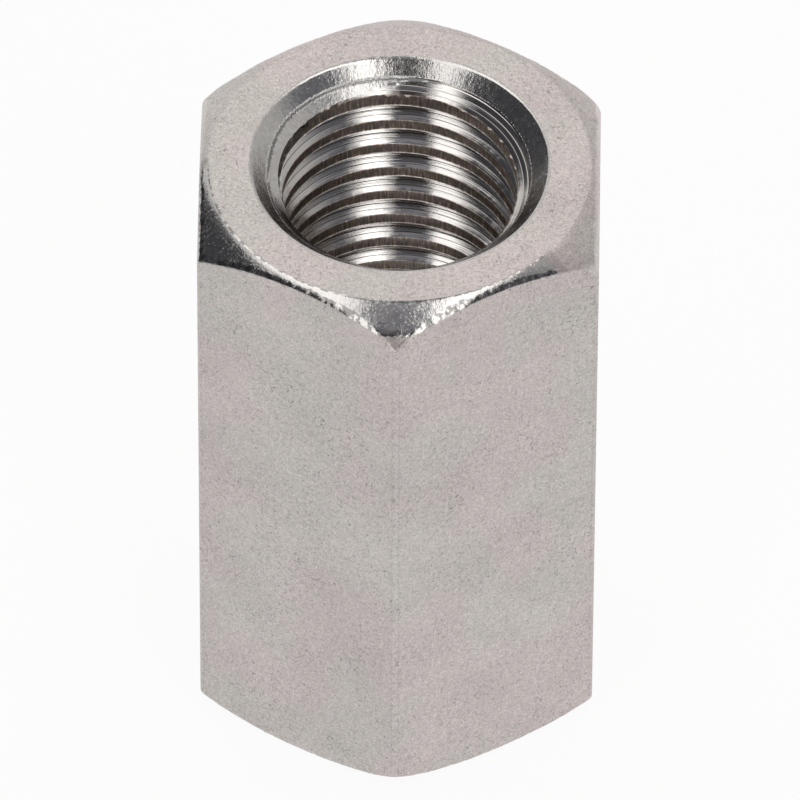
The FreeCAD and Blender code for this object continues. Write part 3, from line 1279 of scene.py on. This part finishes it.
class CouplingNut:
    """The nut: its skin, its finishes and its place in the model.

    MOUTH_WAVES are the fewest and the most a turn, how many there are, and their seed.
    The waver and the width of the mouths' edges are shares of mouth_round.
    """

    SHARP_DEGREES = 14.0
    MOUTH_STEPS = 4
    MOUTH_WAVES = (16, 90, 40, 61)
    MOUTH_LIMITS = (-1.2, 2.2)
    MOUTH_WAVER, BEADED_WAVER = 0.1, 0.3
    BEADED_WIDTH = 0.6
    MOUTH_WIDTH, MOUTH_GAP = 2.3, 0.05
    MOUTH_GRAIN = 0.4

    def __init__(self, sizes: NutSizes, thread: ThreadSizes) -> None:
        """Keep the sizes.

        Args:
            sizes: The nut's sizes.
            thread: The thread's sizes.
        """
        self.sizes = sizes
        self.thread = thread

    def _mouth(self, skin: Skin, end: EndSizes, ring: np.ndarray, angle: np.ndarray,
               face: float, upwards: bool) -> tuple[np.ndarray, float]:
        """Round the edge between a countersink and its face.

        The edge is a quadratic curve from the cone to the face, and its size is uneven,
        most of all where it is beaded. Past it the face's tumbled finish begins.

        Args:
            skin: The skin that the edge goes to.
            end: The end's sizes.
            ring: Point numbers of the cone's last ring.
            angle: The ring's angles.
            face: Height of the face.
            upwards: Whether the face looks up.

        Returns:
            Point numbers of the ring on the face, and its radius.
        """
        way = 1.0 if upwards else -1.0
        lean = end.mouth_round * math.sqrt(0.5)
        uneven = ripple(angle / FULL_TURN, *self.MOUTH_WAVES, closed=True)
        beaded = sum(bell(np.degrees(angle), *sizes) for sizes in end.mouth_beads)
        wave = (self.MOUTH_WAVER + self.BEADED_WAVER * beaded) * np.clip(uneven, *self.MOUTH_LIMITS)
        stop_radius = end.mouth_radius + end.mouth_round * (1.0 + self.BEADED_WIDTH * beaded + wave)
        outer_radius = end.mouth_radius + self.MOUTH_WIDTH * end.mouth_round + self.MOUTH_GAP
        start = pair(end.mouth_radius - lean, face - way * lean, angle)
        corner, stop, outer = (pair(radius, face, angle)
                               for radius in (end.mouth_radius, stop_radius, outer_radius))
        rows = np.concatenate([bend(start, corner, stop, self.MOUTH_STEPS)[1:], outer[None]])
        numbers = np.concatenate([ring[None], skin.add_points(rows[..., 0], angle, rows[..., 1])])
        if not upwards:
            numbers = numbers[::-1]
        numbers = numbers[:, [*range(angle.size), 0]]
        arc = np.linspace(0.0, FULL_TURN * end.mouth_radius, angle.size + 1)
        across = np.linspace(0.0, self.MOUTH_GRAIN, len(numbers))[:, None]
        grain = np.stack(np.broadcast_arrays(arc, across), axis=-1)
        finish = np.full((len(numbers) - 1, angle.size), Finish.TURNED.value)
        outermost = -1 if upwards else 0
        finish[outermost] = Finish.TUMBLED.value
        skin.add_cells(cell_corners(numbers), cell_corners(grain), finish)
        return numbers[outermost, :-1], outer_radius

    def build(self) -> bpy.types.Object:
        """Make the nut's skin and dress it.

        Returns:
            The nut's object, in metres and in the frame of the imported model.
        """
        skin = Skin()
        outside = HexagonOutside(self.sizes)
        bore = ThreadedBore(self.sizes, self.thread)
        upper_face, lower_face = outside.build(skin)
        upper_mouth, lower_mouth = bore.build(skin)
        for end, mouth, face, height, upwards in (
                (self.sizes.top, upper_mouth, upper_face, self.sizes.length, True),
                (self.sizes.bottom, lower_mouth, lower_face, 0.0, False)):
            ring, radius = self._mouth(skin, end, mouth, bore.angle, height, upwards)
            radii = (radius, outside.FACE_RADII[0])
            skin.add_zip(ring, bore.angle, face, outside.angle % FULL_TURN, radii, upwards, Finish.TUMBLED)
        mesh = skin.make_mesh("threaded_nut", self.SHARP_DEGREES)
        for finish in (TumbledSteel(), TurnedSteel(), CountersinkSteel(), CutThreadSteel(), CrestSteel()):
            mesh.materials.append(finish.build())
        nut = bpy.data.objects.new("threaded_nut", mesh)
        bpy.context.scene.collection.objects.link(nut)
        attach(nut, "root")
        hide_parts("coupling_nut")
        LOG.info("threaded_nut: %d points, %d triangles", len(mesh.vertices), len(mesh.polygons))
        return nut


@dataclass(frozen=True)
class Studio:
    """Floor, light from all round and camera. The light comes from the world alone.

    The camera's angles are in degrees. Its distance and its offset aside are in units,
    which are widths across the flats in metres.
    """

    floor_half: float = 3.0
    floor_grey: float = 0.82
    white_to_camera: float = 0.93
    white_in_gloss: float = 0.8
    azimuth: float = 0.74
    elevation: float = 46.34
    roll: float = 0.25
    focal_pixels: float = 16501.0
    frame_pixels: float = 800.0
    sensor_millimetres: float = 36.0
    distance: float = 41.15
    aside: tuple[float, float] = (-0.0002, -0.5910)
    unit: float = 0.0237
    aim_height: float = 0.0403
    clip: tuple[float, float] = (0.05, 20.0)
    strip_level: float = 2.6
    left_level: float = 1.9
    back_level: float = 0.91
    far_left_level: float = 0.07

    def build_floor(self) -> None:
        """Lay a plain pale floor that is white to the camera and keeps the nut's shadow."""
        half = self.floor_half
        corners = [(-half, -half, 0.0), (half, -half, 0.0), (half, half, 0.0), (-half, half, 0.0)]
        mesh = bpy.data.meshes.new("floor")
        mesh.from_pydata(corners, [], [(0, 1, 2, 3)])
        floor = bpy.data.objects.new("floor", mesh)
        bpy.context.scene.collection.objects.link(floor)
        material = bpy.data.materials.new("pale_floor")
        material.use_nodes = True
        graph = Graph(material.node_tree)
        camera = graph.node("ShaderNodeLightPath", None, None, "Is Camera Ray")
        grey = (self.floor_grey, self.floor_grey, self.floor_grey, 1.0)
        plain = graph.node("ShaderNodeBsdfDiffuse", None, {"Color": grey})
        white = graph.node("ShaderNodeEmission", None, {"Color": (1.0, 1.0, 1.0, 1.0), "Strength": 1.0})
        factor = camera * self.white_to_camera + camera.output("Is Glossy Ray") * self.white_in_gloss
        mixed = graph.node("ShaderNodeMixShader", None, {0: factor, 1: plain, 2: white})
        graph.node("ShaderNodeOutputMaterial", None, {"Surface": mixed})
        mesh.materials.append(material)
        LOG.info("floor: %.1f m square", 2.0 * half)

    def build_light(self) -> None:
        """Light the nut from all round, with two long soft boxes overhead.

        The light's level depends on its direction, of which x runs to the right and y to
        the back. To the left it is dark, to the right mid grey, behind pale, and in between
        two bright strips run from above the nut to the viewer's side, with a dark gap
        between them. The strips' edges are straight lines in y.
        """
        world = bpy.context.scene.world or bpy.data.worlds.new("studio")
        bpy.context.scene.world = world
        world.use_nodes = True
        graph = Graph(world.node_tree)
        x, y, _ = graph.parts(graph.node("ShaderNodeTexCoord", None, None, "Generated"))

        def beyond(edge: Value, soft: float = 0.008) -> Value:
            """Give 1 to the right of an edge and 0 to its left."""
            return (x - edge).step(-soft, soft)

        high = y.step(-0.1, 0.12)
        facing = y.step(-0.7, -0.78)
        gap_left = y * 0.243 - 0.132
        gap_right = y * -0.04 + 0.174
        left_full = graph.math("MINIMUM", y * 0.3 - 0.34, -0.39) - high * 0.14 - facing * 0.1
        left_end = -0.62 - high * 0.06 - facing * 0.06
        right_full = 0.312 - y * 0.17 + high * 0.06
        right_end = 0.44 - y * 0.25 + high * 0.03
        side_level = 0.16 + y.step(-0.2, 0.26) * 0.5
        gap_level = 0.065 + y.step(-0.68, -0.58) * 0.055 + y.step(-0.5, -0.42) * 0.22
        left_part = self._ramp(x, left_end, left_full, 0.06, self.left_level + facing * 0.6)
        right_part = self._ramp(x, right_full, right_end, self.strip_level, side_level)
        level = self._blend(left_part, gap_level, beyond(gap_left))
        level = self._blend(level, right_part, beyond(gap_right))
        level = self._blend(self.back_level, level, y.step(0.52, 0.38))
        level = self._blend(level, side_level, beyond(right_end))
        level = self._blend(level, self.far_left_level, (x - left_end).step(0.01, -0.03))
        dark_tone = graph.mix(y.step(-0.6, -0.68), (0.97, 0.98, 1.08), (1.08, 0.98, 0.94))
        tone = graph.mix(level.step(0.5, 0.25), (1.0, 0.99, 0.97), dark_tone)
        level = graph.tint(tone, level)
        camera = graph.node("ShaderNodeLightPath", None, None, "Is Camera Ray")
        level = graph.mix(camera, level, (1.0, 1.0, 1.0))
        background = graph.node("ShaderNodeBackground", None, {"Color": level, "Strength": 1.0})
        graph.node("ShaderNodeOutputWorld", None, {"Surface": background})
        LOG.info("light: world with two soft boxes")

    @staticmethod
    def _ramp(x: Value, start: Value, end: Value, first: Value | float, second: Value | float) -> Value:
        """Go in a straight line from the first level at start to the second at end."""
        inputs = {"Value": x, "From Min": start, "From Max": end, "To Min": first, "To Max": second}
        return x.graph.node("ShaderNodeMapRange", None, inputs)

    @staticmethod
    def _blend(first: Value | float, second: Value | float, part: Value) -> Value:
        """Give the first value at part 0 and the second at part 1."""
        return first * (1.0 - part) + second * part

    def build_camera(self) -> None:
        """Set the camera as worked out from the nut's outline in the photograph.

        The camera looks from the azimuth and elevation, turned by the roll, and stands
        back by the distance, which like the offset aside is in widths across the flats.
        """
        azimuth, elevation, roll = np.radians([self.azimuth, self.elevation, self.roll])
        right = np.array([math.cos(azimuth), math.sin(azimuth), 0.0])
        away = np.array([math.sin(azimuth) * math.cos(elevation),
                         -math.cos(azimuth) * math.cos(elevation), math.sin(elevation)])
        up = np.cross(right, -away)
        turn = np.array([[math.cos(roll), -math.sin(roll), 0.0],
                         [math.sin(roll), math.cos(roll), 0.0],
                         [0.0, 0.0, 1.0]])
        axes = turn @ np.array([right, -up, -away])
        place = -axes.T @ np.array([*self.aside, self.distance]) * self.unit + [0.0, 0.0, self.aim_height]
        rows = np.column_stack([axes[0], -axes[1], -axes[2], place])
        data = bpy.data.cameras.new("camera")
        data.sensor_width = self.sensor_millimetres
        data.lens = self.sensor_millimetres * self.focal_pixels / self.frame_pixels
        data.clip_start, data.clip_end = self.clip
        camera = bpy.data.objects.new("camera", data)
        camera.matrix_world = Matrix([*rows.tolist(), (0.0, 0.0, 0.0, 1.0)])
        bpy.context.scene.collection.objects.link(camera)
        bpy.context.scene.camera = camera
        LOG.info("camera: %.3f m away, lens %.0f mm", self.distance * self.unit, data.lens)

    def build(self) -> None:
        """Build the studio and set plain colours."""
        self.build_camera()
        self.build_light()
        self.build_floor()
        bpy.context.scene.view_settings.view_transform = "Standard"


def main() -> None:
    """Build the studio and the nut."""
    logging.basicConfig(level=logging.INFO, format="%(message)s")
    Studio().build()
    CouplingNut(NutSizes(), ThreadSizes()).build()


if __name__ == "__main__":
    main()
